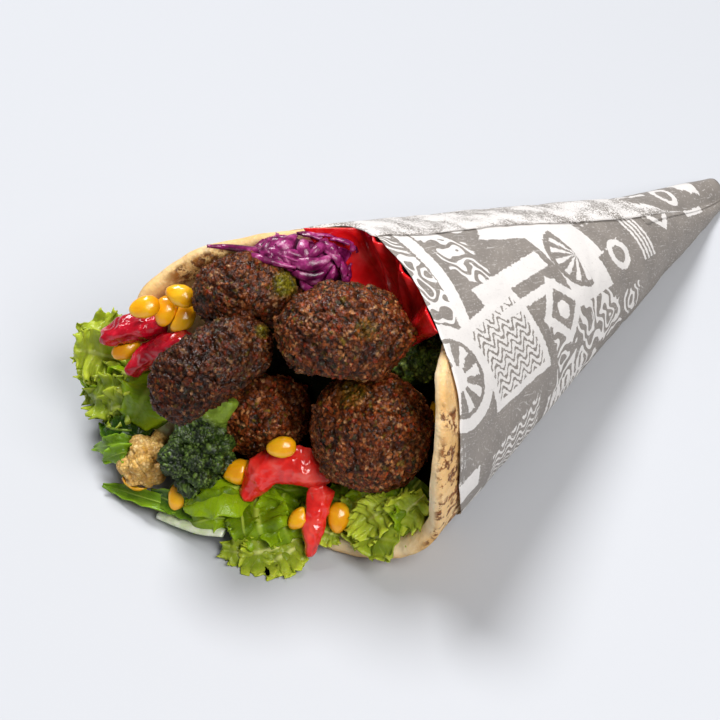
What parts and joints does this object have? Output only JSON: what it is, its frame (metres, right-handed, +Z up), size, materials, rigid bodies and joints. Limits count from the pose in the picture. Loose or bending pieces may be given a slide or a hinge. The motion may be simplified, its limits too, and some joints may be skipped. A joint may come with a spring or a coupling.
{
  "type": "falafel pita half",
  "caption": "Half pita filled with falafel balls, salad and pickles, rolled in a printed paper cone that lies on its side with the open filled end showing.",
  "frame": {"origin": "bottom centre of the whole object's box, on the surface it lies on", "axes": "+X along the cone towards its paper tip, +Y towards the far side of the mouth, +Z up"},
  "size_m": [0.2436, 0.1416, 0.0863],
  "materials": {
    "printed_paper": "matte printed greaseproof paper",
    "bread": "soft baked flatbread with toasted spots",
    "salad_leaves": "moist crisp leaves",
    "falafel_crust": "coarse fried crumb",
    "broccoli": "fine tight buds",
    "roast_cauliflower": "roasted curds",
    "red_cabbage": "moist shreds",
    "red_pepper": "wet glossy skin",
    "pink_pickle": "wet glossy flesh",
    "sweetcorn": "shiny moist skin"
  },
  "bodies": {
    "root": {"paper_wrap": "printed_paper", "pita": "bread", "salad_bed": "salad_leaves", "falafel_front_right": "falafel_crust", "falafel_top_right": "falafel_crust", "falafel_back_left": "falafel_crust", "falafel_left": "falafel_crust", "falafel_middle": "falafel_crust", "broccoli_front": "broccoli", "broccoli_back": "broccoli", "cauliflower": "roast_cauliflower", "red_cabbage": "red_cabbage", "pepper_back": "red_pepper", "pepper_front": "red_pepper", "pepper_strip": "red_pepper", "pickle_back": "pink_pickle", "pickle_front": "pink_pickle", "corn_1": "sweetcorn", "corn_2": "sweetcorn", "corn_3": "sweetcorn", "corn_4": "sweetcorn", "corn_5": "sweetcorn", "corn_6": "sweetcorn", "corn_7": "sweetcorn", "corn_8": "sweetcorn", "corn_9": "sweetcorn", "corn_10": "sweetcorn", "corn_11": "sweetcorn", "corn_12": "sweetcorn"}
  },
  "joints": []
}
